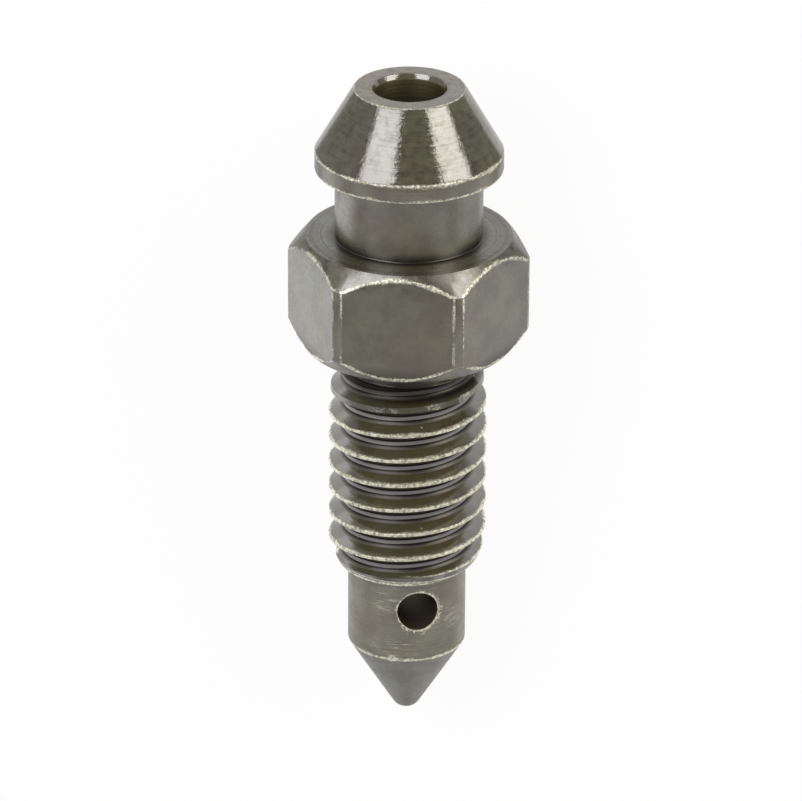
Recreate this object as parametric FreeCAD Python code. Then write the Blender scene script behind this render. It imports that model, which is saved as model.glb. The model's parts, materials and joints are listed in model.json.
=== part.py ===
import FreeCAD, Part
import math
import os

# A bleeder screw, turned in one piece from hexagon bar, threaded, and drilled from the head down
# to a cross hole above its seat cone. It is drawn upright, with the tip at height zero, and is
# laid down at the end as it comes to rest. Lengths are in millimetres and angles in degrees.

# Lengths along the axis, from the tip to the top face. They add up to 25.0 overall.
seat_cone_length = 2.98
shank_length = 3.19
thread_length = 8.05
undercut_length = 0.86
hexagon_height = 4.20
neck_length = 2.64
nipple_land_length = 0.66
nipple_cone_length = 2.42

# Diameters of the turned surfaces.
shank_diameter = 4.36
neck_diameter = 5.38
nipple_diameter = 6.84
top_face_diameter = 4.04

# The blunt nose of the seat cone.
nose_radius = 0.6

# The thread: a right-hand metric thread, M6 x 1, with its crests a little under the nominal size.
thread_nominal_diameter = 6.0
thread_pitch = 1.0
thread_angle = 60.0
crest_relief = 0.1
thread_depth_ratio = 0.61343
crest_flat = 0.1
groove_overshoot = 0.05
lead_step_length = 0.09
lead_diameter = 5.12
lead_chamfer_length = 0.84
front_crest_height = 10.479
runout_taper_length = 1.4
runout_taper_drop = 0.13
runout_chamfer_length = 0.35
undercut_below_root = 0.03

# The hexagon, and the turned chamfers that round its corners off at both ends.
hexagon_across_flats = 7.8
hexagon_corner_diameter = 8.80
hexagon_top_circle = 7.52
hexagon_under_circle = 7.58
hexagon_top_chamfer_length = 0.76
hexagon_under_chamfer_length = 0.70

# Drilled holes.
bore_diameter = 2.3
bore_chamfer = 0.2
drill_point_angle = 118.0
cross_hole_diameter = 1.5
cross_hole_height = 5.0
cross_hole_turn = 17.0

# Small rounds and broken edges.
nipple_edge_break = 0.07
top_edge_round = 0.08
neck_root_fillet = 0.16
undercut_corner_chamfer = 0.12

# Heights that follow from the lengths.
shank_bottom = seat_cone_length
thread_bottom = shank_bottom + shank_length
thread_top = thread_bottom + thread_length
hexagon_bottom = thread_top + undercut_length
hexagon_top = hexagon_bottom + hexagon_height
nipple_bottom = hexagon_top + neck_length
nipple_top = nipple_bottom + nipple_land_length
overall_length = nipple_top + nipple_cone_length

# Radii that follow from the diameters and the thread.
shank_radius = shank_diameter / 2
neck_radius = neck_diameter / 2
nipple_radius = nipple_diameter / 2
top_face_radius = top_face_diameter / 2
bore_radius = bore_diameter / 2
flat_reach = hexagon_across_flats / 2
corner_radius = hexagon_corner_diameter / 2
top_circle_radius = hexagon_top_circle / 2
under_circle_radius = hexagon_under_circle / 2
nominal_radius = thread_nominal_diameter / 2
crest_radius = nominal_radius - crest_relief
root_radius = nominal_radius - thread_depth_ratio * thread_pitch
undercut_radius = root_radius - undercut_below_root
flank_slope = math.tan(math.radians(thread_angle / 2))
lead_radius = lead_diameter / 2
lead_chamfer_top = thread_bottom + lead_step_length + lead_chamfer_length

ORIGIN = FreeCAD.Vector(0, 0, 0)
UP = FreeCAD.Vector(0, 0, 1)
FREE_SPACE = 1.0
FULL_TURN = 360.0
FRONT_AZIMUTH = -90.0
HEXAGON_SIDES = 6


def at(radius, height):
    """A point of the turned profile."""
    return FreeCAD.Vector(radius, 0, height)


def line(start, end):
    return Part.LineSegment(start, end).toShape()


def arc(start, middle, end):
    return Part.Arc(start, middle, end).toShape()


def fillet(before, corner, after, radius):
    """The round of a corner between two straight runs: its two ends and its middle."""
    back = (before - corner).normalize()
    ahead = (after - corner).normalize()
    half_angle = back.getAngle(ahead) / 2
    setback = radius / math.tan(half_angle)
    to_centre = (back + ahead).normalize() * (radius / math.sin(half_angle))
    middle = corner + to_centre - to_centre.normalize() * radius
    return corner + back * setback, middle, corner + ahead * setback


def turned_profile():
    """The outside of the screw from the tip to the top face, closed along the axis."""
    to_corner = math.hypot(shank_radius, shank_bottom - nose_radius)
    half_cone = math.atan2(shank_radius, shank_bottom - nose_radius) - math.asin(nose_radius / to_corner)
    half_nose = (math.pi / 2 - half_cone) / 2
    tip = at(0, 0)
    nose_middle = at(nose_radius * math.sin(half_nose), nose_radius * (1 - math.cos(half_nose)))
    nose_end = at(nose_radius * math.cos(half_cone), nose_radius * (1 - math.sin(half_cone)))
    edges = [arc(tip, nose_middle, nose_end)]
    here = nose_end

    def run_to(radius, height):
        nonlocal here
        there = at(radius, height)
        edges.append(line(here, there))
        here = there

    def round_to(radius, height, after, round_radius):
        nonlocal here
        start, middle, end = fillet(here, at(radius, height), after, round_radius)
        edges.append(line(here, start))
        edges.append(arc(start, middle, end))
        here = end

    run_to(shank_radius, shank_bottom)
    run_to(shank_radius, thread_bottom)
    run_to(lead_radius, thread_bottom + lead_step_length)
    run_to(crest_radius, lead_chamfer_top)
    runout_top = thread_top - runout_chamfer_length
    run_to(crest_radius, runout_top - runout_taper_length)
    run_to(crest_radius - runout_taper_drop, runout_top)
    run_to(undercut_radius, thread_top)
    run_to(undercut_radius, hexagon_bottom - undercut_corner_chamfer)
    run_to(undercut_radius + undercut_corner_chamfer, hexagon_bottom)
    run_to(under_circle_radius, hexagon_bottom)
    run_to(corner_radius, hexagon_bottom + hexagon_under_chamfer_length)
    run_to(corner_radius, hexagon_top - hexagon_top_chamfer_length)
    run_to(top_circle_radius, hexagon_top)
    round_to(neck_radius, hexagon_top, at(neck_radius, nipple_bottom), neck_root_fillet)
    run_to(neck_radius, nipple_bottom)
    run_to(nipple_radius - nipple_edge_break, nipple_bottom)
    run_to(nipple_radius, nipple_bottom + nipple_edge_break)
    run_to(nipple_radius, nipple_top - nipple_edge_break)
    cone_slope = (nipple_radius - top_face_radius) / nipple_cone_length
    run_to(nipple_radius - nipple_edge_break * cone_slope, nipple_top + nipple_edge_break)
    round_to(top_face_radius, overall_length, at(0, overall_length), top_edge_round)
    run_to(0, overall_length)
    edges.append(line(here, tip))
    return Part.Wire(edges)


def turned_body():
    return Part.Face(turned_profile()).revolve(ORIGIN, UP, FULL_TURN)


def hexagon_prism(bottom, height):
    """A hexagon bar with one flat facing the front, which is the -Y side."""
    corner_reach = flat_reach / math.cos(math.pi / HEXAGON_SIDES)
    corners = []
    for corner in range(HEXAGON_SIDES + 1):
        angle = 2 * math.pi * corner / HEXAGON_SIDES
        corners.append(FreeCAD.Vector(corner_reach * math.cos(angle), corner_reach * math.sin(angle), bottom))
    return Part.Face(Part.makePolygon(corners)).extrude(UP * height)


def outside_of_flats():
    """What is missing from the turned body beside the six flats."""
    bottom = hexagon_bottom - undercut_length / 2
    height = hexagon_top + neck_length / 2 - bottom
    stock = Part.makeCylinder(corner_radius + FREE_SPACE, height, FreeCAD.Vector(0, 0, bottom))
    return stock.cut(hexagon_prism(bottom, height))


def thread_groove():
    """Cutters for the helical groove, one to a turn. It starts beside the shank and ends in the undercut."""
    mouth_radius = crest_radius + groove_overshoot
    mouth = thread_pitch - crest_flat + 2 * groove_overshoot * flank_slope
    root_flat = mouth - 2 * (mouth_radius - root_radius) * flank_slope
    groove_bottom = thread_bottom - root_flat
    groove_height = thread_top + root_flat - groove_bottom
    profile = Part.makePolygon([
        at(root_radius, -root_flat / 2),
        at(mouth_radius, -mouth / 2),
        at(mouth_radius, mouth / 2),
        at(root_radius, root_flat / 2),
        at(root_radius, -root_flat / 2),
    ])
    pieces = math.ceil(groove_height / thread_pitch)
    piece_height = groove_height / pieces
    helix = Part.Wire(Part.makeHelix(thread_pitch, piece_height, root_radius))
    lowest = helix.makePipeShell([profile], True, True)
    front_groove_height = front_crest_height - thread_pitch / 2
    turns_to_front = (front_groove_height - groove_bottom) / thread_pitch
    cutters = []
    for piece in range(pieces):
        rise = piece * piece_height
        cutter = lowest.copy()
        cutter.rotate(ORIGIN, UP, FULL_TURN * (rise / thread_pitch - turns_to_front) + FRONT_AZIMUTH)
        cutter.translate(UP * (groove_bottom + rise))
        cutters.append(cutter)
    return cutters


def drilled_bore():
    """The blind bore from the top face to the cross hole, with its drill point and mouth chamfer."""
    point_length = bore_radius / math.tan(math.radians(drill_point_angle / 2))
    mouth_reach = bore_radius + bore_chamfer
    edges = Part.makePolygon([
        at(0, cross_hole_height - point_length),
        at(bore_radius, cross_hole_height),
        at(bore_radius, overall_length - bore_chamfer),
        at(mouth_reach, overall_length),
        at(mouth_reach, overall_length + FREE_SPACE),
        at(0, overall_length + FREE_SPACE),
        at(0, cross_hole_height - point_length),
    ])
    return Part.Face(edges).revolve(ORIGIN, UP, FULL_TURN)


def cross_hole():
    """The hole through both walls of the shank, turned to the right of the front flat."""
    turn = math.radians(cross_hole_turn)
    outward = FreeCAD.Vector(math.sin(turn), -math.cos(turn), 0)
    reach = shank_radius + FREE_SPACE
    start = UP * cross_hole_height - outward * reach
    return Part.makeCylinder(cross_hole_diameter / 2, 2 * reach, start, outward)


def upright_screw():
    body = turned_body().cut(outside_of_flats())
    for cutter in thread_groove():
        body = body.cut(cutter)
    body = body.cut(drilled_bore())
    body = body.cut(cross_hole())
    return body


def rest_tilt():
    """The angle between the axis and the floor when the screw lies on a flat's lower edge and its thread."""
    under_slope = hexagon_under_chamfer_length / (corner_radius - under_circle_radius)
    flat_edge_height = hexagon_bottom + max(flat_reach - under_circle_radius, 0) * under_slope
    lead_slope = (crest_radius - lead_radius) / lead_chamfer_length
    crests_below_front = round((front_crest_height - thread_bottom) / thread_pitch)
    tilts = []
    for crest in range(crests_below_front):
        crest_height = front_crest_height - (crest + 0.5) * thread_pitch + crest_flat / 2
        crest_reach = crest_radius - max(lead_chamfer_top - crest_height, 0) * lead_slope
        tilts.append(math.atan2(flat_reach - crest_reach, flat_edge_height - crest_height))
    return min(tilts)


def laid_down(screw):
    """The screw as it rests, front flat up and head to +X, its box centred on the origin and on the floor."""
    axis_down = FreeCAD.Rotation(FreeCAD.Vector(0, 1, 0), 90 - math.degrees(rest_tilt()))
    front_up = FreeCAD.Rotation(UP, FRONT_AZIMUTH)
    resting = screw.copy()
    resting.Placement = FreeCAD.Placement(ORIGIN, axis_down.multiply(front_up))
    box = resting.optimalBoundingBox(False, False)
    resting.translate(FreeCAD.Vector(-box.Center.x, -box.Center.y, -box.ZMin))
    return resting


def main():
    screw = upright_screw()
    print("overall length", round(overall_length, 4), "solids", len(screw.Solids), "valid", screw.isValid())
    print("centre of gravity above the tip", round(screw.CenterOfGravity.z, 4), "volume", round(screw.Volume, 3))
    print("angle to the floor", round(math.degrees(rest_tilt()), 3))
    resting = laid_down(screw)
    os.makedirs("parts", exist_ok=True)
    resting.exportStep("parts/bleeder_screw.step")


main()
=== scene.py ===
import json
import math
from types import SimpleNamespace

import bmesh
import bpy
from bpy.props import FloatProperty, FloatVectorProperty, IntProperty, PointerProperty
from bpy.types import Operator, Panel, PropertyGroup
from mathutils import Matrix, Vector


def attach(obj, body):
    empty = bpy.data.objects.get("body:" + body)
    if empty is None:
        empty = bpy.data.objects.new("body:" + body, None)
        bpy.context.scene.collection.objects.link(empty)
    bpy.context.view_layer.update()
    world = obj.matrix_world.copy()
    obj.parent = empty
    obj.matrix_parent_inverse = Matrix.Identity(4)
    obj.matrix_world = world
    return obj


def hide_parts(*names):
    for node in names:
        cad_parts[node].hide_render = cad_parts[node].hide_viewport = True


bl_info = {
    "name": "Bleeder Screw",
    "version": (1, 0, 0),
    "blender": (4, 5, 0),
    "location": "3D View > Sidebar > Bleeder Screw",
    "description": "Turns, threads and drills a dark steel bleeder screw and lays it on a studio floor",
    "category": "Object",
}

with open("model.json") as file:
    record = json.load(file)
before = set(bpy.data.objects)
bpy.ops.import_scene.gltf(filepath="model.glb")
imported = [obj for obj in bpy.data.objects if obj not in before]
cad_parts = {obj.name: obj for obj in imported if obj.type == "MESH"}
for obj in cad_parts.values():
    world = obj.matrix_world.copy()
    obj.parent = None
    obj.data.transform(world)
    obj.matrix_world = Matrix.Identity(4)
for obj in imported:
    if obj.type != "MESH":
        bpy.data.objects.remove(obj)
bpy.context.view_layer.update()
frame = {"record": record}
MOUNTS = {mount["name"]: mount for mount in frame["record"]["mounts"]}

SCREW = "turned_screw"
CUTTER = "cutter"
STEEL = "dark_turned_steel"
MM = 1000.0
SIDES = 6
NOSE_STEPS = 8
CROSS_HOLE_FACETS = 72
SMOOTH_BELOW = math.radians(32.0)
SHARP_ABOVE = math.radians(20.0)


def length(name, default, description):
    return FloatProperty(
        name=name, description=description, default=default, min=0.0, unit="LENGTH", precision=5)


def angle(name, degrees, description):
    return FloatProperty(
        name=name, description=description, default=math.radians(degrees), subtype="ANGLE")


def colour(name, default, description):
    return FloatVectorProperty(
        name=name, description=description, default=default, subtype="COLOR", min=0.0, max=1.0)


def share(name, default, description):
    return FloatProperty(
        name=name, description=description, default=default, min=0.0, max=1.0, subtype="FACTOR")


class TurnedSizes(PropertyGroup):
    """Sizes of the turned surfaces, from the tip to the top face."""

    seat_cone: length("Seat cone", 0.00298, "Length of the sealing cone at the tip")
    shank: length("Shank", 0.00319, "Length of the plain shank")
    thread: length("Thread", 0.00805, "Length of the thread")
    relief: length("Relief", 0.00086, "Length of the turned relief under the hexagon")
    hexagon: length("Hexagon", 0.0042, "Height of the hexagon")
    neck: length("Neck", 0.00264, "Length of the neck")
    land: length("Land", 0.00066, "Length of the nipple's land")
    nipple_cone: length("Nipple cone", 0.00242, "Length of the nipple's cone")
    shank_radius: length("Shank radius", 0.00218, "Radius of the plain shank")
    relief_radius: length("Relief radius", 0.00235657, "Radius of the turned relief")
    neck_radius: length("Neck radius", 0.00269, "Radius of the neck")
    nipple_radius: length("Nipple radius", 0.00342, "Radius of the nipple's land")
    top_radius: length("Top face radius", 0.00202, "Radius of the top face")
    nose_round: length("Nose round", 0.0006, "Radius of the blunt nose")
    small_round: length("Small round", 0.00004, "Round of the turned edges")
    soft_round: length("Soft round", 0.00008, "Round of the softer turned edges")
    root_round: length("Neck root round", 0.00006, "Fillet at the neck's root")
    facets: IntProperty(name="Facets", description="Facets around the screw", default=144, min=24)


class ThreadSizes(PropertyGroup):
    """Sizes of the right-hand thread."""

    pitch: length("Pitch", 0.001, "Distance from crest to crest")
    crest_radius: length("Crest radius", 0.0029, "Radius of the full crests")
    root_radius: length("Root radius", 0.00238657, "Radius of the groove's bottom")
    crest_flat: length("Crest flat", 0.0001, "Width of the flat left on a crest")
    crest_round: length("Crest round", 0.00004, "Round of the crest's edges")
    flank: angle("Flank angle", 30.0, "Angle between a flank and the cross-section")
    front_crest: length("Front crest", 0.010479, "Height of a crest at the front flat")
    lead_step: length("Lead step", 0.00009, "Length of the step where the thread starts")
    lead_radius: length("Lead radius", 0.00256, "Radius of the thread's start")
    lead_chamfer: length("Lead chamfer", 0.00084, "Length of the chamfer on the first thread")
    runout_taper: length("Run-out taper", 0.0014, "Length over which the last crests shrink")
    runout_drop: length("Run-out drop", 0.00013, "How much the last crests shrink in radius")
    runout_chamfer: length("Run-out chamfer", 0.00035, "Length of the chamfer on the last crest")


class HexagonSizes(PropertyGroup):
    """Sizes of the hexagon."""

    flat_reach: length("Flat reach", 0.0039, "Distance of a flat from the axis")
    corner_radius: length("Corner radius", 0.0044, "Radius of the turned corners")
    top_circle: length("Top circle", 0.00376, "Radius where the top chamfer starts")
    under_circle: length("Under circle", 0.00379, "Radius where the lower chamfer starts")
    top_chamfer: length("Top chamfer", 0.00076, "Length of the top chamfer")
    under_chamfer: length("Lower chamfer", 0.0007, "Length of the lower chamfer")
    edge_break: length("Edge break", 0.00004, "Width of the worn edges")


class HoleSizes(PropertyGroup):
    """Sizes of the drilled holes."""

    bore_radius: length("Bore radius", 0.00115, "Radius of the bore")
    mouth_chamfer: length("Mouth chamfer", 0.0002, "Chamfer at the bore's mouth")
    mouth_round: length("Mouth round", 0.00025, "Round between the chamfer and the bore")
    flare: length("Flare", 0.00011, "How much wider the bore is at its mouth")
    flare_depth: length("Flare depth", 0.0013, "Depth over which the mouth narrows to the bore")
    point: angle("Drill point", 118.0, "Angle of the bore's drilled end")
    cross_radius: length("Cross hole radius", 0.00075, "Radius of the cross hole")
    cross_height: length("Cross hole height", 0.005, "Height of the cross hole above the tip")
    cross_turn: angle("Cross hole turn", 17.0, "Turn of the cross hole from the front flat")


def rest_place():
    """The matrix from the upright screw in millimetres, tip at zero, to the screw at rest in metres."""
    seat = MOUNTS["seat_cone"]
    along = -Vector(seat["axis"]).normalized()
    front = Vector((-along.z, 0.0, along.x))
    right = along.cross(front)
    turn = Matrix((right, -front, along)).transposed().to_4x4()
    return Matrix.Translation(Vector(seat["pos_m"])) @ turn @ Matrix.Scale(1 / MM, 4)


def in_mm(group):
    """A group's lengths in millimetres, with its angles and counts as they are."""
    sizes = SimpleNamespace()
    for prop in group.bl_rna.properties:
        if prop.type in {"FLOAT", "INT"}:
            value = getattr(group, prop.identifier)
            setattr(sizes, prop.identifier, value * MM if prop.unit == "LENGTH" else value)
    return sizes


def screw_sizes(scene):
    """All sizes in millimetres, and the heights of the shoulders above the tip."""
    size = SimpleNamespace(
        turned=in_mm(scene.screw_turned), thread=in_mm(scene.screw_thread),
        hexagon=in_mm(scene.screw_hexagon), holes=in_mm(scene.screw_holes), top=SimpleNamespace())
    total = 0.0
    for name in ("seat_cone", "shank", "thread", "relief", "hexagon", "neck", "land", "nipple_cone"):
        total += getattr(size.turned, name)
        setattr(size.top, name, total)
    size.lead = size.top.shank + size.thread.lead_step
    size.lead_end = size.lead + size.thread.lead_chamfer
    size.runout = size.top.thread - size.thread.runout_chamfer
    size.under_end = size.top.relief + size.hexagon.under_chamfer
    size.over_start = size.top.hexagon - size.hexagon.top_chamfer
    return size


def rounded(corners, steps=4):
    """Profile points from corners given as radius, height and round."""
    points = [Vector(corners[0][:2])]
    for before, here, after in zip(corners, corners[1:], corners[2:]):
        corner = Vector(here[:2])
        if not here[2]:
            points.append(corner)
            continue
        back = (Vector(before[:2]) - corner).normalized()
        ahead = (Vector(after[:2]) - corner).normalized()
        half = back.angle(ahead) / 2
        setback = here[2] / math.tan(half)
        centre = corner + (back + ahead).normalized() * here[2] / math.sin(half)
        start = corner + back * setback - centre
        end = corner + ahead * setback - centre
        for step in range(steps + 1):
            part = step / steps
            points.append(centre + start.lerp(end, part).normalized() * here[2])
    points.append(Vector(corners[-1][:2]))
    return points


def deselect():
    if bpy.context.object and bpy.context.object.mode != "OBJECT":
        bpy.ops.object.mode_set(mode="OBJECT")
    bpy.ops.object.select_all(action="DESELECT")


def take(name):
    """Makes one object the only selected and active one."""
    deselect()
    found = bpy.data.objects[name]
    found.select_set(True)
    bpy.context.view_layer.objects.active = found
    return found


def pick(test, kind):
    """Selects, in edit mode, the faces or edges that pass a test."""
    mesh = bmesh.from_edit_mesh(bpy.context.object.data)
    mesh.select_mode = {kind}
    bpy.ops.mesh.select_all(action="DESELECT")
    count = 0
    for element in mesh.faces if kind == "FACE" else mesh.edges:
        if test(element):
            element.select_set(True)
            count += 1
    mesh.select_flush_mode()
    bmesh.update_edit_mesh(bpy.context.object.data)
    if not count:
        raise RuntimeError("nothing was selected on " + bpy.context.object.name)


def ring_to(here, there):
    """Extrudes the selected ring to the next radius and height."""
    bpy.ops.mesh.extrude_edges_move(TRANSFORM_OT_translate={"value": (0.0, 0.0, there.y - here.y)})
    ratio = there.x / here.x
    bpy.ops.transform.resize(value=(ratio, ratio, 1.0), center_override=(0.0, 0.0, there.y))


def face_outward():
    """Turns all faces outward and leaves edit mode."""
    bpy.ops.mesh.select_all(action="SELECT")
    bpy.ops.mesh.normals_make_consistent(inside=False)
    bpy.ops.object.mode_set(mode="OBJECT")


def subtract_cutter():
    take(SCREW)
    bpy.ops.object.modifier_add(type="BOOLEAN")
    cut = bpy.context.object.modifiers[-1]
    cut.operation = "DIFFERENCE"
    cut.solver = "EXACT"
    cut.object = bpy.data.objects[CUTTER]
    bpy.ops.object.modifier_apply(modifier=cut.name)
    take(CUTTER)
    bpy.ops.object.delete()


class SCREW_OT_turn_body(Operator):
    """Turns the outside and the bore as one closed shell"""

    bl_idname = "screw.turn_body"
    bl_label = "Turn the Body"

    def outline(self, size):
        """The turned outline, from beside the nose's tip over the top face to the bore's drilled end."""
        turned, thread, hexagon, holes, top = size.turned, size.thread, size.hexagon, size.holes, size.top
        small = turned.small_round
        soft = turned.soft_round
        nose = turned.nose_round
        shank = turned.shank_radius
        to_corner = math.hypot(shank, top.seat_cone - nose)
        half_cone = math.atan2(shank, top.seat_cone - nose) - math.asin(nose / to_corner)
        sweep = math.pi / 2 - half_cone
        full = top.nipple_cone
        bore = holes.bore_radius
        throat = bore + holes.flare
        mouth = throat + holes.mouth_chamfer / 2
        points = []
        for step in range(1, NOSE_STEPS):
            turn = sweep * step / NOSE_STEPS
            points.append(Vector((nose * math.sin(turn), nose * (1 - math.cos(turn)))))
        return points + rounded([
            (nose * math.sin(sweep), nose * (1 - math.cos(sweep)), 0.0),
            (shank, top.seat_cone, soft),
            (shank, top.shank, small / 2),
            (thread.lead_radius, size.lead, small / 2),
            (thread.crest_radius, size.lead_end, 0.0),
            (thread.crest_radius, size.runout - thread.runout_taper, 0.0),
            (thread.crest_radius - thread.runout_drop, size.runout, small),
            (turned.relief_radius, top.thread, small),
            (turned.relief_radius, top.relief, soft),
            (hexagon.under_circle, top.relief, small),
            (hexagon.corner_radius, size.under_end, 0.0),
            (hexagon.corner_radius, size.over_start, 0.0),
            (hexagon.top_circle, top.hexagon, small),
            (turned.neck_radius, top.hexagon, turned.root_round),
            (turned.neck_radius, top.neck, small),
            (turned.nipple_radius, top.neck, small),
            (turned.nipple_radius, top.land, small),
            (turned.top_radius, full, soft),
            (mouth, full, small),
            (throat, full - holes.mouth_chamfer, holes.mouth_round),
            (bore, full - holes.flare_depth, 0.0),
            (bore, holes.cross_height, 0.0),
            (bore / turned.facets, holes.cross_height - bore / math.tan(holes.point / 2), 0.0),
        ])

    def execute(self, context):
        size = screw_sizes(context.scene)
        points = self.outline(size)
        first = points[0]
        deselect()
        bpy.ops.mesh.primitive_circle_add(
            vertices=size.turned.facets, radius=first.x, location=(0.0, 0.0, first.y))
        screw = context.object
        screw.name = SCREW
        screw.data.name = SCREW
        bpy.ops.object.transform_apply(location=True)
        bpy.ops.object.mode_set(mode="EDIT")
        bpy.ops.mesh.select_mode(type="EDGE")
        bpy.ops.mesh.select_all(action="SELECT")
        for here, there in zip(points, points[1:]):
            ring_to(here, there)
        bpy.ops.mesh.merge(type="CENTER")
        near = size.turned.small_round
        pick(lambda edge: edge.is_boundary and abs(edge.verts[0].co.z - first.y) < near, "EDGE")
        bpy.ops.mesh.extrude_edges_move(TRANSFORM_OT_translate={"value": (0.0, 0.0, -first.y)})
        bpy.ops.mesh.merge(type="CENTER")
        face_outward()
        return {"FINISHED"}


class SCREW_OT_cut_hexagon(Operator):
    """Cuts the six flats and breaks their edges"""

    bl_idname = "screw.cut_hexagon"
    bl_label = "Cut the Hexagon"

    def execute(self, context):
        size = screw_sizes(context.scene)
        reach = size.hexagon.flat_reach
        edge_break = size.hexagon.edge_break
        inner = size.hexagon.top_circle - size.turned.small_round
        low = size.top.relief
        high = size.top.hexagon
        slack = 1e-3
        take(SCREW)
        bpy.ops.object.mode_set(mode="EDIT")

        def in_hexagon(face):
            middle = face.calc_center_median()
            return low < middle.z < high and middle.xy.length > inner

        def on_flat(face):
            return in_hexagon(face) and abs(face.normal.z) < slack / 10 and len(face.verts) > SIDES

        def on_edge(edge):
            middle = (edge.verts[0].co + edge.verts[1].co) / 2
            if not low < middle.z < high or middle.xy.length < reach - slack or not edge.is_manifold:
                return False
            return edge.calc_face_angle() > SHARP_ABOVE

        for side in range(SIDES):
            turn = 2 * math.pi * side / SIDES - math.pi / 2
            outward = Vector((math.cos(turn), math.sin(turn), 0.0))
            pick(in_hexagon, "FACE")
            bpy.ops.mesh.bisect(
                plane_co=outward * reach, plane_no=outward, use_fill=True, clear_outer=True,
                threshold=slack / 100)
        pick(on_flat, "FACE")
        bpy.ops.mesh.dissolve_faces()
        pick(on_edge, "EDGE")
        bpy.ops.mesh.bevel(offset=edge_break, segments=1, affect="EDGES", clamp_overlap=False)
        # The bevel crosses over itself at the flats' corners, so its close points there become one.
        pick(on_flat, "FACE")
        bpy.ops.mesh.remove_doubles(threshold=edge_break / 2)
        # Fans keep the later cuts from dividing a flat by one long line.
        pick(on_flat, "FACE")
        bpy.ops.mesh.region_to_loop()
        bpy.ops.mesh.mark_sharp()
        pick(on_flat, "FACE")
        bpy.ops.mesh.poke()
        bpy.ops.object.mode_set(mode="OBJECT")
        return {"FINISHED"}


class SCREW_OT_cut_thread(Operator):
    """Cuts the helical groove of the thread"""

    bl_idname = "screw.cut_thread"
    bl_label = "Cut the Thread"

    def execute(self, context):
        size = screw_sizes(context.scene)
        thread = size.thread
        slope = math.tan(thread.flank)
        pitch = thread.pitch
        root = thread.root_radius
        crest = thread.crest_radius
        half_mouth = (pitch - thread.crest_flat) / 2
        half_root = half_mouth - (crest - root) * slope
        clear = crest + pitch / 4
        shoulder = half_mouth + pitch / 40
        nearly_full_round = 0.99 * half_root * math.tan(math.pi / 4 + thread.flank / 2)
        half = rounded([
            (root, 0.0, 0.0),
            (root, half_root, nearly_full_round),
            (crest, half_mouth, thread.crest_round),
            (crest + pitch / 100, shoulder, 0.0),
            (clear, shoulder, 0.0),
        ])
        start = size.top.shank - 2 * half_root
        end = size.top.thread + 2 * half_root
        turns = (end - start) / pitch
        ahead = (thread.front_crest - pitch / 2 - start) / pitch
        deselect()
        bpy.ops.mesh.primitive_plane_add(size=1.0)
        cutter = context.object
        cutter.name = CUTTER
        bpy.ops.object.mode_set(mode="EDIT")
        bpy.ops.mesh.select_mode(type="VERT")
        bpy.ops.mesh.select_all(action="SELECT")
        bpy.ops.mesh.merge(type="CENTER")
        outline = [Vector((point.x, 0.0, point.y)) for point in half]
        outline += [Vector((point.x, 0.0, -point.y)) for point in reversed(half[1:])]
        bpy.ops.transform.translate(value=outline[0])
        for here, there in zip(outline, outline[1:]):
            bpy.ops.mesh.extrude_vertices_move(TRANSFORM_OT_translate={"value": there - here})
        bpy.ops.mesh.select_all(action="SELECT")
        bpy.ops.mesh.edge_face_add()
        bpy.ops.mesh.delete(type="ONLY_FACE")
        bpy.ops.object.mode_set(mode="OBJECT")
        bpy.ops.object.modifier_add(type="SCREW")
        sweep = cutter.modifiers[-1]
        sweep.axis = "Z"
        sweep.angle = 2 * math.pi * turns
        sweep.screw_offset = end - start
        sweep.steps = sweep.render_steps = round(size.turned.facets * turns)
        sweep.use_merge_vertices = False
        bpy.ops.object.modifier_apply(modifier=sweep.name)
        bpy.ops.object.mode_set(mode="EDIT")
        pick(lambda edge: edge.is_boundary, "EDGE")
        bpy.ops.mesh.edge_face_add()
        face_outward()
        cutter.location = (0.0, 0.0, start)
        cutter.rotation_euler = (0.0, 0.0, -math.pi / 2 - 2 * math.pi * ahead)
        subtract_cutter()
        return {"FINISHED"}


class SCREW_OT_drill_cross_hole(Operator):
    """Drills the cross hole through both walls of the shank"""

    bl_idname = "screw.drill_cross_hole"
    bl_label = "Drill the Cross Hole"

    def execute(self, context):
        size = screw_sizes(context.scene)
        holes = size.holes
        through = 4 * size.turned.shank_radius
        deselect()
        bpy.ops.mesh.primitive_cylinder_add(
            vertices=CROSS_HOLE_FACETS, radius=holes.cross_radius, depth=through,
            location=(0.0, 0.0, holes.cross_height), rotation=(math.pi / 2, 0.0, holes.cross_turn))
        context.object.name = CUTTER
        subtract_cutter()
        return {"FINISHED"}


class SCREW_OT_lay_down(Operator):
    """Lays the finished screw down at rest and hands it to the frame"""

    bl_idname = "screw.lay_down"
    bl_label = "Lay the Screw Down"

    def execute(self, context):
        screw = take(SCREW)
        screw.matrix_world = rest_place()
        bpy.ops.object.transform_apply(location=True, rotation=True, scale=True)
        bpy.ops.object.shade_smooth_by_angle(angle=SMOOTH_BELOW)
        bpy.ops.object.modifier_add(type="WEIGHTED_NORMAL")
        even = screw.modifiers[-1]
        even.keep_sharp = True
        bpy.ops.object.modifier_apply(modifier=even.name)
        screw.data.materials.append(bpy.data.materials[STEEL])
        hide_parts("bleeder_screw")
        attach(screw, "root")
        return {"FINISHED"}


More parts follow.
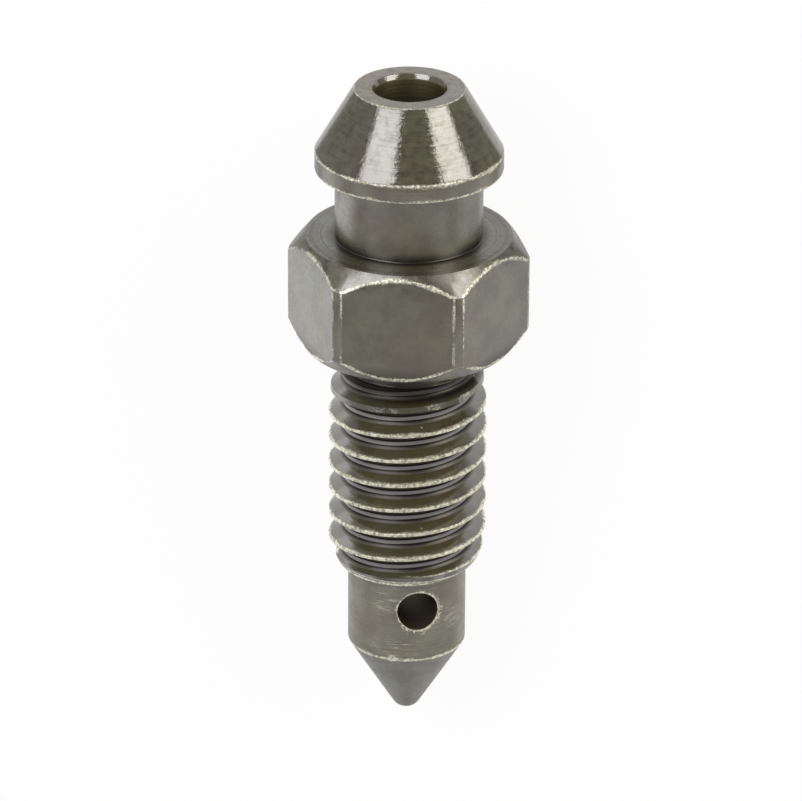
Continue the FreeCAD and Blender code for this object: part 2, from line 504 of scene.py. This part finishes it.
class SteelFinish(PropertyGroup):
    """Colours and finish of the dark steel."""

    cool: colour("Cool tint", (0.065, 0.071, 0.024), "Colour of the dark coating")
    warm: colour("Warm tint", (0.102, 0.070, 0.027), "Colour of the coating where it is warmer")
    groove: colour("Groove", (0.052, 0.044, 0.014), "Colour of the coating near the thread's crests")
    deep: colour("Deep groove", (0.062, 0.051, 0.019), "Colour of the coating low in the thread's groove")
    # Painted highlight: a light line along the bottom of the thread's groove, standing in for the room
    # mirrored there.
    root: colour("Groove bottom", (0.16, 0.155, 0.15), "Colour of the line at the bottom of the groove")
    lined: colour("Turned lines", (0.26, 0.22, 0.105), "Colour of the light turning lines on the shank")
    # Dirt, and painted shade low in the thread's groove, at the neck's root, under the hexagon and in the
    # cross hole's upper left.
    dirt_and_painted_shade: colour("Residue", (0.012, 0.011, 0.008), "Colour of the dirt left in corners")
    gloss: FloatProperty(name="Gloss", description="Index of refraction of the coating", default=2.6, min=1.0)
    worn: colour("Worn steel", (1.0, 0.97, 0.80), "Colour of the steel where the coating is worn off")
    bored: colour("Bored wall", (0.13, 0.11, 0.062), "Colour of the wall inside the bore")
    # The lit side of the painted light and shade inside the cross hole.
    drilled: colour("Drilled wall", (0.12, 0.09, 0.05), "Colour of the wall inside the cross hole")
    worn_rough: share("Worn roughness", 0.5, "Roughness of the worn steel")
    bored_rough: share("Bored roughness", 0.6, "Roughness inside the holes")
    edge_width: length("Edge wear", 0.000035, "Width of the wear along turned and milled edges")
    crest_width: length("Crest wear", 0.000055, "Depth of the wear on the thread's crests")
    rim_width: length("Rim wear", 0.000055, "Width of the wear round the cross hole")
    mark_depth: length("Mark depth", 0.000002, "Depth of the turning marks")


def reckon(operation):
    """What a sign between two values does: it places the math node of that operation."""
    def join(value, other):
        return value.bench.math(operation, value, other)
    return join


class Value:
    """What a node gives. Where it is a number, it can be reckoned with like a plain one."""

    __add__ = __radd__ = reckon("ADD")
    __mul__ = reckon("MULTIPLY")
    __sub__ = reckon("SUBTRACT")
    __truediv__ = reckon("DIVIDE")
    __gt__ = reckon("GREATER_THAN")
    __lt__ = reckon("LESS_THAN")

    def __init__(self, bench, socket):
        self.bench = bench
        self.socket = socket

    def __rsub__(self, other):
        return self.bench.math("SUBTRACT", other, self)

    def __abs__(self):
        return self.bench.math("ABSOLUTE", self)

    def span(self, low, high, out_low=0.0, out_high=1.0, kind="LINEAR"):
        """Maps low to high onto out_low to out_high, and holds the ends."""
        made = self.bench.place("MapRange", interpolation_type=kind, clamp=True)
        return self.bench.fill(made, (self, low, high, out_low, out_high))

    def weigh(self, without, with_it):
        """Goes from one value to the other as this mask goes from 0 to 1."""
        return self.span(0.0, 1.0, without, with_it)


def most(first, *others):
    for other in others:
        first = first.bench.math("MAXIMUM", first, other)
    return first


def least(first, other):
    return first.bench.math("MINIMUM", first, other)


class Bench:
    """A node tree with short ways to place nodes and join them."""

    def __init__(self, tree):
        self.tree = tree

    def place(self, kind, **settings):
        made = self.tree.nodes.new("ShaderNode" + kind)
        for name, value in settings.items():
            setattr(made, name, value)
        return made

    def feed(self, socket, value):
        if isinstance(value, Value):
            self.tree.links.new(value.socket, socket)
        else:
            socket.default_value = value

    def fill(self, made, values):
        for socket, value in zip(made.inputs, values):
            self.feed(socket, value)
        return Value(self, made.outputs[0])

    def math(self, operation, *values):
        return self.fill(self.place("Math", operation=operation), values)

    def vector(self, operation, *values):
        made = self.place("VectorMath", operation=operation)
        self.fill(made, values)
        result = "Value" if operation in ("LENGTH", "DOT_PRODUCT") else "Vector"
        return Value(self, made.outputs[result])

    def noise(self, position, scale, detail=2.0, rough=0.5, kind="3D"):
        made = self.place("TexNoise", noise_dimensions=kind)
        self.feed(made.inputs["W" if kind == "1D" else "Vector"], position)
        made.inputs["Scale"].default_value = scale
        made.inputs["Detail"].default_value = detail
        made.inputs["Roughness"].default_value = rough
        return Value(self, made.outputs["Fac"])

    def blend(self, part, first, second):
        """Goes from one colour to the other, a colour being a value or three plain numbers."""
        made = self.place("Mix", data_type="RGBA")
        self.feed(made.inputs["Factor"], part)
        for name, shade in (("A", first), ("B", second)):
            self.feed(made.inputs[name], shade if isinstance(shade, Value) else (*shade, 1.0))
        return Value(self, made.outputs["Result"])

    def group(self, name, *values):
        made = self.place("Group")
        made.node_tree = bpy.data.node_groups[name]
        self.fill(made, values)
        return [Value(self, socket) for socket in made.outputs]


def start_group(name, inputs, outputs):
    """Makes a node group with number sockets and, for Position, a vector socket."""
    tree = bpy.data.node_groups.new(name, "ShaderNodeTree")
    for title in inputs:
        kind = "NodeSocketVector" if title == "Position" else "NodeSocketFloat"
        tree.interface.new_socket(title, in_out="INPUT", socket_type=kind)
    for title in outputs:
        tree.interface.new_socket(title, in_out="OUTPUT", socket_type="NodeSocketFloat")
    bench = Bench(tree)
    given = zip(inputs, tree.nodes.new("NodeGroupInput").outputs)
    return bench, [Value(bench, socket) for title, socket in given], tree.nodes.new("NodeGroupOutput").inputs


def measures_group():
    """Height and radius on the screw, and how far out it reaches square to a flat."""
    bench, (position,), out = start_group("screw_measures", ["Position"], ["Height", "Radius", "Reach"])
    split = bench.place("SeparateXYZ")
    bench.feed(split.inputs[0], position)
    level = bench.vector("MULTIPLY", position, (1.0, 1.0, 0.0))
    reach = abs(Value(bench, split.outputs["Y"]))
    half_side = math.pi / SIDES
    for side in (-1.0, 1.0):
        normal = (math.cos(half_side), side * math.sin(half_side), 0.0)
        reach = most(reach, abs(bench.vector("DOT_PRODUCT", level, normal)))
    bench.feed(out["Height"], Value(bench, split.outputs["Z"]))
    bench.feed(out["Radius"], bench.vector("LENGTH", level))
    bench.feed(out["Reach"], reach)


def wear_group():
    """A ragged mask along an edge, from the distance to it."""
    bench, (position, gap, width, ragged), out = start_group(
        "edge_wear", ["Position", "Gap", "Width", "Ragged"], ["Mask"])
    patch = bench.noise(position, 1.1).span(0.3, 0.7, 0.4, 1.8)
    crumb = (bench.noise(position, 11.0, 3.0, 0.65) - 0.5) * 4.0
    edge = gap / (width * patch) + crumb * ragged
    bench.feed(out["Mask"], edge.span(0.3, 1.5, 1.0, 0.0, "SMOOTHSTEP"))


def marks_group():
    """Fine turning marks round the axis, broken up here and there."""
    bench, (position, height, radius), out = start_group(
        "turning_marks", ["Position", "Height", "Radius"], ["Relief", "Mask"])
    run = height * 1.7 + radius
    coarse = bench.noise(run, 4.5, 1.0, kind="1D")
    fine = bench.noise(run, 15.0, kind="1D")
    broken = bench.noise(position, 0.7).span(0.35, 0.65)
    bench.feed(out["Relief"], (coarse * 0.6 + fine * 0.4) * (broken + 0.35))
    thin = (coarse * 0.3 + fine * 0.7).span(0.46, 0.6)
    bench.feed(out["Mask"], thin * broken.weigh(0.5, 1.0))


class SteelBench(Bench):
    """The steel's nodes, with the screw's own measures and zones at hand."""

    def __init__(self, tree, size, finish):
        super().__init__(tree)
        self.size = size
        self.finish = finish
        place = rest_place()
        upright = self.place("Mapping", vector_type="TEXTURE")
        tree.links.new(self.place("TexCoord").outputs["Object"], upright.inputs["Vector"])
        upright.inputs["Location"].default_value = place.to_translation()
        upright.inputs["Rotation"].default_value = place.to_3x3().normalized().to_euler()
        upright.inputs["Scale"].default_value = (1 / MM,) * 3
        self.position = Value(self, upright.outputs["Vector"])
        self.height, self.radius, self.reach = self.group("screw_measures", self.position)
        self.mark_relief, self.mark_lines = self.group(
            "turning_marks", self.position, self.height, self.radius)
        self.find_zones()

    def wear(self, gap, width, ragged):
        return self.group("edge_wear", self.position, gap, width, ragged)[0]

    def spots(self, *settings):
        return self.noise(self.position, *settings)

    def find_zones(self):
        """Masks of the places on the screw that are finished in their own way."""
        size, holes, top = self.size, self.size.holes, self.size.top
        height, radius = self.height, self.radius
        root = size.thread.root_radius
        self.on_shank = (height > top.seat_cone - 0.1) * (height < top.shank)
        self.in_groove = (height > size.lead) * (height < top.thread)
        self.upper_chamfer = height.span(size.over_start, top.hexagon) * (height < top.hexagon)
        self.lower_chamfer = height.span(top.relief, size.under_end, 1.0, 0.0) * (height > top.relief)
        self.flat_gap = size.hexagon.flat_reach - self.reach
        self.on_flat = (self.flat_gap < 0.01) * (radius > 3.0)
        # Painted highlight along the bottom of the groove.
        self.root_line = self.in_groove * radius.span(root + 0.006, root + 0.014, 1.0, 0.0)
        outward = (math.sin(holes.cross_turn), -math.cos(holes.cross_turn), 0.0)
        self.from_hole = self.vector("SUBTRACT", self.position, (0.0, 0.0, holes.cross_height))
        self.from_axis = self.vector("LENGTH", self.vector("CROSS_PRODUCT", self.from_hole, outward))
        just_wider = 1.01
        inside = (radius < (holes.bore_radius + holes.flare) * just_wider) * (height > top.shank)
        full = top.nipple_cone
        self.in_bore = inside * height.span(full - 0.17, full - 0.12, 1.0, 0.0)
        self.in_hole = self.from_axis < holes.cross_radius * just_wider
        self.on_walls = most(self.in_bore, self.in_hole)
        self.cloud = self.spots(0.9, 4.0, 0.6).span(0.4, 0.62)
        self.blotch = self.spots(3.0, 4.0, 0.65).span(0.45, 0.7)

    def worn_edges(self):
        """Wear on the turned rings and round the flats."""
        size, turned, hexagon, top = self.size, self.size.turned, self.size.hexagon, self.size.top
        height, radius = self.height, self.radius
        under = height.span(top.relief, size.under_end, hexagon.under_circle, hexagon.corner_radius)
        over = height.span(size.over_start, top.hexagon, hexagon.corner_radius, hexagon.top_circle)
        gap = abs(least(under, over) - radius) + abs(self.flat_gap)
        at_arc = self.upper_chamfer + self.lower_chamfer > 0.0
        gap = gap / at_arc.weigh(0.4, 1.3)
        rings = (
            (turned.top_radius, top.nipple_cone, 0.85),
            (turned.nipple_radius, top.land, 1.9),
            (turned.nipple_radius, top.neck, 2.0),
            (turned.shank_radius, top.seat_cone, 1.8),
        )
        for ring_radius, ring_height, width_share in rings:
            gap = least(gap, (abs(radius - ring_radius) + abs(height - ring_height)) / width_share)
        return self.wear(gap, self.finish.edge_width * MM, 0.8)

    def worn_lead(self):
        """The two bright lines where the thread starts."""
        up = abs(self.height - self.size.lead)
        gap = abs(self.radius - self.size.thread.lead_radius) + up
        gap = least(gap / 4.0, abs(gap - 0.24) / 0.75)
        return self.wear(gap, self.finish.edge_width * MM, 0.15) * (up < 0.3)

    def worn_crests(self):
        """Wear along the thread's crests, fading where they run out."""
        size, thread, height = self.size, self.size.thread, self.height
        taper = thread.runout_taper
        crest = height.span(size.lead, size.lead_end, thread.lead_radius, thread.crest_radius)
        drop = height.span(size.runout - taper, size.runout, 0.0, thread.runout_drop)
        fading = height.span(size.runout - 0.9 * taper, size.runout - 0.5 * taper, 0.0, 0.1)
        mask = self.wear(crest - drop - self.radius + fading, self.finish.crest_width * MM, 0.5)
        return mask * ((height > size.lead + thread.lead_chamfer / 2) * (height < size.runout))

    def worn_rim(self):
        """The burr round the cross hole, widest at its lower right."""
        gap = abs(self.from_axis - self.size.holes.cross_radius) + abs(
            self.radius - self.size.turned.shank_radius)
        burred = self.vector("DOT_PRODUCT", self.from_hole, (0.5, 0.0, -0.85)).span(-0.75, 0.75, 0.3, 2.0)
        return self.wear(gap, burred * (self.finish.rim_width * MM), 1.3)

    def scored_shank(self):
        """How far each place of the shank is scored, from soft noise and three marked patches."""
        patches = (
            ((-0.55, -2.11, 5.5), (1.6, 1.0, 1.3)),
            ((-0.3, -2.16, 3.5), (0.9, 1.0, 2.2)),
            ((1.77, -1.27, 4.5), (2.6, 1.4, 1.5)),
        )
        scored = self.spots(0.8, 1.0).span(0.46, 0.6, 0.0, 0.4)
        for middle, tightness in patches:
            away = self.vector("MULTIPLY", self.vector("SUBTRACT", self.position, middle), tightness)
            scored = most(scored, self.vector("LENGTH", away).span(0.5, 1.2, 1.0, 0.0))
        return scored

    def specks(self):
        """Small bright specks, fewer on the shank."""
        top = self.size.top
        cells = self.place("TexVoronoi")
        self.feed(cells.inputs["Vector"], self.position)
        cells.inputs["Scale"].default_value = 2.4
        chosen = self.place("SeparateColor")
        self.feed(chosen.inputs[0], Value(self, cells.outputs["Color"]))
        speck = Value(self, cells.outputs["Distance"]).span(0.05, 0.09, 1.0, 0.0)
        speck = speck * (Value(self, chosen.outputs["Red"]) > 0.8)
        return speck * (self.height.span(top.shank, top.thread, 0.3, 1.0) * (self.height < top.relief))

    def wear_mask(self, scored):
        """Everything that shows bare steel."""
        dashes = self.noise(self.vector("MULTIPLY", self.position, (0.9, 0.9, 9.0)), 2.0, 2.0, 0.55)
        dashes = dashes.span(0.55, 0.68, 0.0, 0.45) * scored * self.on_shank
        nick_middle = (-0.326, -2.155, 3.02)
        nick_radius = 0.12
        from_nick = self.vector("LENGTH", self.vector("SUBTRACT", self.position, nick_middle))
        nick = self.wear(abs(from_nick - nick_radius), 0.03, 0.7)
        return most(
            self.worn_edges(), self.worn_lead(), self.worn_crests(), self.worn_rim(), dashes,
            self.specks(), nick)

    def shade_and_dirt_mask(self):
        """Painted shade low in the thread's groove, in the corner at the neck's root and under the hexagon,
        and dirt in the turned lines.
        """
        size, turned, top = self.size, self.size.turned, self.size.top
        height, radius = self.height, self.radius
        root = size.thread.root_radius
        above_line = radius.span(root + 0.006, root + 0.014)
        # Painted shade: a dark band low in the thread's groove, just above the painted highlight at its
        # bottom.
        groove = radius.span(root + 0.02, root + 0.12, 1.0, 0.0) * above_line * self.in_groove
        neck_up = abs(height - top.hexagon)
        # Painted shade in the corner where the neck rises from the hexagon's top face.
        neck = (abs(radius - turned.neck_radius) + neck_up).span(0.07, 0.42, 0.75, 0.0)
        # The top face darker along its turned lines: partly dirt, partly painted shade spread out from the
        # neck's corner.
        shoulder = (neck_up < 0.02) * (radius < size.hexagon.top_circle) * self.mark_lines.weigh(0.2, 0.55)
        nipple = (self.mark_lines * 0.2 + self.blotch * 0.32) * (height > top.land)
        haze = self.cloud * 0.12 + (height < top.seat_cone) * 0.18 + self.upper_chamfer * self.blotch * 0.6
        # Painted shadow under the hexagon, over the relief, the top of the thread's groove and the lower
        # chamfer.
        head = height.span(size.runout - 0.4, size.runout, 0.0, 0.7) * (height < size.under_end)
        relief = turned.relief_radius
        shade = most(radius.span(relief + 0.25, relief + 0.4, 1.0, 0.0), self.lower_chamfer * 0.9)
        return most(groove, neck, shoulder, nipple, haze, head * shade)

    def coat_colour(self, scored, shade_and_dirt):
        """The coating with its clouds, turned lines, groove, painted highlight at the groove's bottom, and
        its dirt and painted shade.
        """
        finish = self.finish
        root = self.size.thread.root_radius
        coat = self.blend(self.spots(0.45, 4.0, 0.6).span(0.36, 0.64), finish.cool, finish.warm)
        coat = self.blend(self.mark_lines * scored.weigh(0.45, 0.85) * self.on_shank, coat, finish.lined)
        coat = self.blend(self.cloud * 0.35, coat, finish.dirt_and_painted_shade)
        groove = self.blend(self.radius.span(root + 0.1, root + 0.4), finish.deep, finish.groove)
        coat = self.blend(self.in_groove, coat, groove)
        coat = self.blend(self.root_line, coat, finish.root)
        return self.blend(shade_and_dirt, coat, finish.dirt_and_painted_shade)

    def colour(self, coat, worn):
        """The coating, the bare steel and the walls of the holes."""
        finish = self.finish
        black = (0.0, 0.0, 0.0)
        bright = self.blend(self.spots(8.0, 3.0, 0.6).span(0.38, 0.56, 0.45, 1.0), black, finish.worn)
        shown = self.blend(self.in_bore, self.blend(worn, coat, bright), finish.bored)
        # Painted light and shade in the cross hole: its wall is lighter towards the lower right and takes the
        # dark dirt-and-shade colour towards the upper left.
        lit_wall = self.vector("DOT_PRODUCT", self.from_hole, (0.6, 0.0, -0.8)).span(-0.25, 0.7)
        return self.blend(self.in_hole, shown, self.blend(lit_wall, finish.dirt_and_painted_shade, finish.drilled))

    def roughness(self, worn):
        """The roughness of each zone, of the bare steel and of the holes' walls."""
        top, root = self.size.top, self.size.thread.root_radius
        shank, thread, relief, nipple, top_face, groove = 0.36, 0.14, 0.3, 0.12, 0.3, 0.4
        smooth = shank
        for start, before, after in (
            (top.shank, shank, thread),
            (top.relief, thread, relief),
            (top.land, relief, nipple),
            (top.nipple_cone - 0.03, nipple, top_face),
        ):
            smooth = smooth + (self.height > start) * (after - before)
        smooth = smooth * self.spots(5.0, 3.0).span(0.3, 0.7, 0.8, 1.25)
        low = self.in_groove * self.radius.span(root + 0.1, root + 0.14, 1.0, 0.0)
        smooth = most(smooth, low * groove)
        smooth = worn.weigh(smooth, self.finish.worn_rough)
        return self.on_walls.weigh(smooth, self.finish.bored_rough)

    def relief(self, worn):
        """Turning marks and grain, deeper on the nipple's cone and on bare steel."""
        top = self.size.top
        deeper = self.height.span(top.neck, top.land, 1.0, 7.0) + self.on_shank * 2.0
        marks = self.mark_relief * self.on_flat.weigh(1.0, 0.15) * deeper
        grain = self.spots(9.0, 3.0, 0.6) * self.height.span(top.neck, top.land, 1.0, 4.0)
        return marks + grain * 0.7 + grain * worn * 6.0


class SCREW_OT_mix_steel(Operator):
    """Mixes the dark turned steel with its worn edges"""

    bl_idname = "screw.mix_steel"
    bl_label = "Mix the Steel"

    def execute(self, context):
        finish = context.scene.screw_finish
        measures_group()
        wear_group()
        marks_group()
        steel = bpy.data.materials.new(STEEL)
        steel.use_nodes = True
        shader = steel.node_tree.nodes["Principled BSDF"]
        bench = SteelBench(steel.node_tree, screw_sizes(context.scene), finish)
        scored = bench.scored_shank()
        worn = bench.wear_mask(scored)
        shade_and_dirt = bench.shade_and_dirt_mask()
        coat = bench.coat_colour(scored, shade_and_dirt)
        bench.feed(shader.inputs["Base Color"], bench.colour(coat, worn))
        # Dirt and painted shade count as metal with a dark colour, which takes the coating's gloss away.
        bench.feed(shader.inputs["Metallic"], most(worn, shade_and_dirt, bench.on_walls))
        bench.feed(shader.inputs["Roughness"], bench.roughness(worn))
        shader.inputs["IOR"].default_value = finish.gloss
        bump = bench.place("Bump")
        bump.inputs["Strength"].default_value = 1.0
        bump.inputs["Distance"].default_value = finish.mark_depth
        bench.feed(bump.inputs["Height"], bench.relief(worn))
        bench.feed(shader.inputs["Normal"], Value(bench, bump.outputs["Normal"]))
        return {"FINISHED"}


class StageLook(PropertyGroup):
    """The floor, the lamps and the camera."""

    floor_size: length("Floor size", 3.0, "Width of the floor")
    floor_colour: colour("Floor colour", (0.95, 0.95, 0.95), "Colour of the floor")
    backdrop_share: share("White share", 0.94, "How much of plain white the floor shows to the camera")
    mirror_share: share("Mirrored share", 0.85, "How much of that white the steel mirrors")
    room_colour: colour("Room colour", (0.25, 0.25, 0.25), "Colour of the room's dim light")
    lamp_distance: length("Lamp distance", 0.28, "Distance of the lamps from the middle of the screw")
    frame_border: length("Frame border", 0.03, "Width of the dark border round each softbox")
    distance: length("Camera distance", 0.23272, "Distance from the middle of the screw")
    rise: angle("Camera rise", 25.269, "Rise of the camera towards the head")
    swing: angle("Camera swing", 5.75, "Swing of the camera from the front flat")
    roll: angle("Camera roll", -0.34, "Roll of the camera")
    lens: FloatProperty(name="Lens", description="Focal length in millimetres", default=284.84, min=1.0)
    shift_x: FloatProperty(name="Shift X", description="Sideways shift of the frame", default=-0.00847)
    shift_y: FloatProperty(name="Shift Y", description="Upward shift of the frame", default=0.00295)


def floor_paint(stage):
    """Matt paint that the camera sees as near white, and the steel's gloss a little dimmer."""
    paint = bpy.data.materials.new("white_floor")
    paint.use_nodes = True
    paint.node_tree.nodes.clear()
    bench = Bench(paint.node_tree)
    ray = bench.place("LightPath").outputs
    mirrored = Value(bench, ray["Is Glossy Ray"]) * stage.mirror_share
    seen = most(Value(bench, ray["Is Camera Ray"]), mirrored)
    matt = bench.place("BsdfDiffuse")
    matt.inputs["Color"].default_value = (*stage.floor_colour, 1.0)
    glow = bench.place("Emission")
    shaders = (seen * stage.backdrop_share, Value(bench, matt.outputs[0]), Value(bench, glow.outputs[0]))
    mixed = bench.fill(bench.place("MixShader"), shaders)
    bench.feed(bench.place("OutputMaterial").inputs["Surface"], mixed)
    return paint


def glowing_paper(name, level):
    """Paper of one even brightness."""
    paper = bpy.data.materials.new(name)
    paper.use_nodes = True
    paper.node_tree.nodes.clear()
    bench = Bench(paper.node_tree)
    shine = bench.place("Emission")
    shine.inputs["Strength"].default_value = level
    bench.feed(bench.place("OutputMaterial").inputs["Surface"], Value(bench, shine.outputs[0]))
    return paper


def black_cloth():
    """Dull black for the softboxes' borders."""
    cloth = bpy.data.materials.new("black_border")
    cloth.use_nodes = True
    shader = cloth.node_tree.nodes["Principled BSDF"]
    shader.inputs["Base Color"].default_value = (0.01, 0.01, 0.01, 1.0)
    shader.inputs["Roughness"].default_value = 0.9
    return cloth


def hang_sheet(name, width, height, place, paper):
    """Hangs a flat sheet that only shows mirrored in the steel."""
    deselect()
    bpy.ops.mesh.primitive_plane_add(size=1.0)
    sheet = bpy.context.object
    sheet.name = name
    sheet.scale = (width, height, 1.0)
    bpy.ops.object.transform_apply(scale=True)
    sheet.matrix_world = place
    sheet.data.materials.append(paper)
    sheet.visible_camera = False
    sheet.visible_diffuse = False
    sheet.visible_shadow = False


class SCREW_OT_set_stage(Operator):
    """Lays the floor and sets the lamps and the camera"""

    bl_idname = "screw.set_stage"
    bl_label = "Set the Stage"

    def lay_floor(self, stage):
        deselect()
        bpy.ops.mesh.primitive_plane_add(size=stage.floor_size)
        floor = bpy.context.object
        floor.name = "floor"
        floor.data.materials.append(floor_paint(stage))

    def fill_room(self, scene, stage):
        """A dim room that the camera sees as white."""
        scene.world = bpy.data.worlds.new("room")
        scene.world.use_nodes = True
        tree = scene.world.node_tree
        air = Bench(tree)
        seen = Value(air, air.place("LightPath").outputs["Is Camera Ray"])
        shown = air.blend(seen, stage.room_colour, (1.0, 1.0, 1.0))
        air.feed(tree.nodes["Background"].inputs["Color"], shown)

    def hang_softboxes(self, scene, stage):
        """Each softbox: degrees round from the camera and up, size in metres, brightness, share of blue."""
        softboxes = (
            ("left_softbox", -43.5, 35.0, 0.19, 0.32, 3.2, 1.0),
            ("right_softbox", 63.0, 29.0, 0.172, 0.25, 3.8, 0.88),
            ("tip_softbox", 0.0, -50.0, 1.0, 0.26, 0.4, 1.0),
        )
        cloth = black_cloth()
        behind_lamp = 0.002
        for name, azimuth, rise, width, height, brightness, blue in softboxes:
            towards = self.direction(math.radians(azimuth), math.radians(rise))
            level = self.along.cross(towards).normalized()
            turn = Matrix((level, towards.cross(level), towards)).transposed().to_4x4()
            lamp = bpy.data.lights.new(name, "AREA")
            lamp.shape = "RECTANGLE"
            lamp.size = width
            lamp.size_y = height
            lamp.energy = brightness * math.pi * width * height
            green = (1.0 + blue) / 2 + 0.04 * (1.0 - blue)
            lamp.color = (1.0, green, blue)
            holder = bpy.data.objects.new(name, lamp)
            scene.collection.objects.link(holder)
            holder.matrix_world = Matrix.Translation(self.middle + towards * stage.lamp_distance) @ turn
            if rise > 0:
                behind = self.middle + towards * (stage.lamp_distance + behind_lamp)
                border = 2 * stage.frame_border
                hang_sheet(
                    name.replace("softbox", "border"), width + border, height + border,
                    Matrix.Translation(behind) @ turn, cloth)

    def lay_cards(self, place):
        """Floor cards in the screw's own millimetres: aside from and to, height from and to, brightness."""
        cards = (
            ("left_grey_card", -900.0, -6.5, 20.5, 600.0, 0.37),
            ("right_grey_card", 6.5, 900.0, 20.5, 600.0, 0.3),
            ("left_white_card", -60.0, -6.5, 6.0, 20.5, 1.3),
            ("left_low_card", -60.0, -6.5, -15.0, 6.0, 0.75),
            ("right_pale_card", 6.5, 60.0, 6.0, 20.5, 0.78),
            ("right_low_card", 6.5, 60.0, -15.0, 6.0, 0.55),
        )
        above_floor = 0.0003
        for name, side_from, side_to, height_from, height_to, brightness in cards:
            near = place @ Vector(((side_from + side_to) / 2, 0.0, (height_from + height_to) / 2))
            lying = Matrix.Translation((near.x, near.y, above_floor))
            hang_sheet(
                name, (height_to - height_from) / MM, (side_to - side_from) / MM, lying,
                glowing_paper(name, brightness))

    def stand_walls(self):
        """Two dim walls beside the screw."""
        upright = Matrix.Rotation(math.pi / 2, 4, "X")
        wall_length = 1.2
        wall_height = 0.3
        for name, aside, brightness in (("left_wall", 0.4, 0.4), ("right_wall", -0.4, 0.31)):
            standing = Matrix.Translation((0.0, aside, wall_height / 2)) @ upright
            hang_sheet(name, wall_length, wall_height, standing, glowing_paper(name, brightness))

    def set_camera(self, scene, stage):
        towards = self.direction(0.0, stage.rise)
        level = self.along.cross(towards).normalized()
        upright = towards.cross(level)
        side = level * math.cos(stage.roll) - upright * math.sin(stage.roll)
        upward = level * math.sin(stage.roll) + upright * math.cos(stage.roll)
        camera = bpy.data.cameras.new("camera")
        camera.lens = stage.lens
        camera.sensor_width = 36.0
        camera.shift_x = stage.shift_x
        camera.shift_y = stage.shift_y
        camera.clip_start = 0.01
        holder = bpy.data.objects.new("camera", camera)
        scene.collection.objects.link(holder)
        aim = Matrix((side, upward, towards)).transposed().to_4x4()
        holder.matrix_world = Matrix.Translation(self.middle + towards * stage.distance) @ aim
        scene.camera = holder

    def execute(self, context):
        scene = context.scene
        stage = scene.screw_stage
        place = rest_place()
        size = screw_sizes(scene)
        right, back, along = (axis.normalized() for axis in place.to_3x3().transposed())

        def direction(azimuth, rise):
            """A direction by its angle about the screw from the camera's side and its rise to the head."""
            turn = azimuth + stage.swing
            across = math.sin(turn) * right - math.cos(turn) * back
            return math.cos(rise) * across + math.sin(rise) * along

        self.direction = direction
        self.along = along
        self.middle = place @ Vector((0.0, 0.0, size.top.nipple_cone / 2))
        self.lay_floor(stage)
        self.fill_room(scene, stage)
        self.hang_softboxes(scene, stage)
        self.lay_cards(place)
        self.stand_walls()
        self.set_camera(scene, stage)
        scene.view_settings.view_transform = "Standard"
        return {"FINISHED"}


STEPS = (
    SCREW_OT_mix_steel,
    SCREW_OT_turn_body,
    SCREW_OT_cut_hexagon,
    SCREW_OT_cut_thread,
    SCREW_OT_drill_cross_hole,
    SCREW_OT_lay_down,
    SCREW_OT_set_stage,
)

GROUPS = {
    "screw_turned": TurnedSizes,
    "screw_thread": ThreadSizes,
    "screw_hexagon": HexagonSizes,
    "screw_holes": HoleSizes,
    "screw_finish": SteelFinish,
    "screw_stage": StageLook,
}


class SCREW_PT_panel(Panel):
    """Sizes, finish and stage of the bleeder screw"""

    bl_label = "Bleeder Screw"
    bl_idname = "SCREW_PT_panel"
    bl_space_type = "VIEW_3D"
    bl_region_type = "UI"
    bl_category = "Bleeder Screw"

    def draw(self, context):
        for step in STEPS:
            self.layout.operator(step.bl_idname)
        for name, group in GROUPS.items():
            box = self.layout.box()
            box.label(text=group.__doc__)
            for prop in group.__annotations__:
                box.prop(getattr(context.scene, name), prop)


def register():
    for cls in (*GROUPS.values(), *STEPS, SCREW_PT_panel):
        bpy.utils.register_class(cls)
    for name, group in GROUPS.items():
        setattr(bpy.types.Scene, name, PointerProperty(type=group))


def unregister():
    for name in GROUPS:
        delattr(bpy.types.Scene, name)
    for cls in reversed((*GROUPS.values(), *STEPS, SCREW_PT_panel)):
        bpy.utils.unregister_class(cls)


def main():
    register()
    bpy.ops.screw.mix_steel()
    bpy.ops.screw.turn_body()
    bpy.ops.screw.cut_hexagon()
    bpy.ops.screw.cut_thread()
    bpy.ops.screw.drill_cross_hole()
    bpy.ops.screw.lay_down()
    bpy.ops.screw.set_stage()


if __name__ == "__main__":
    main()
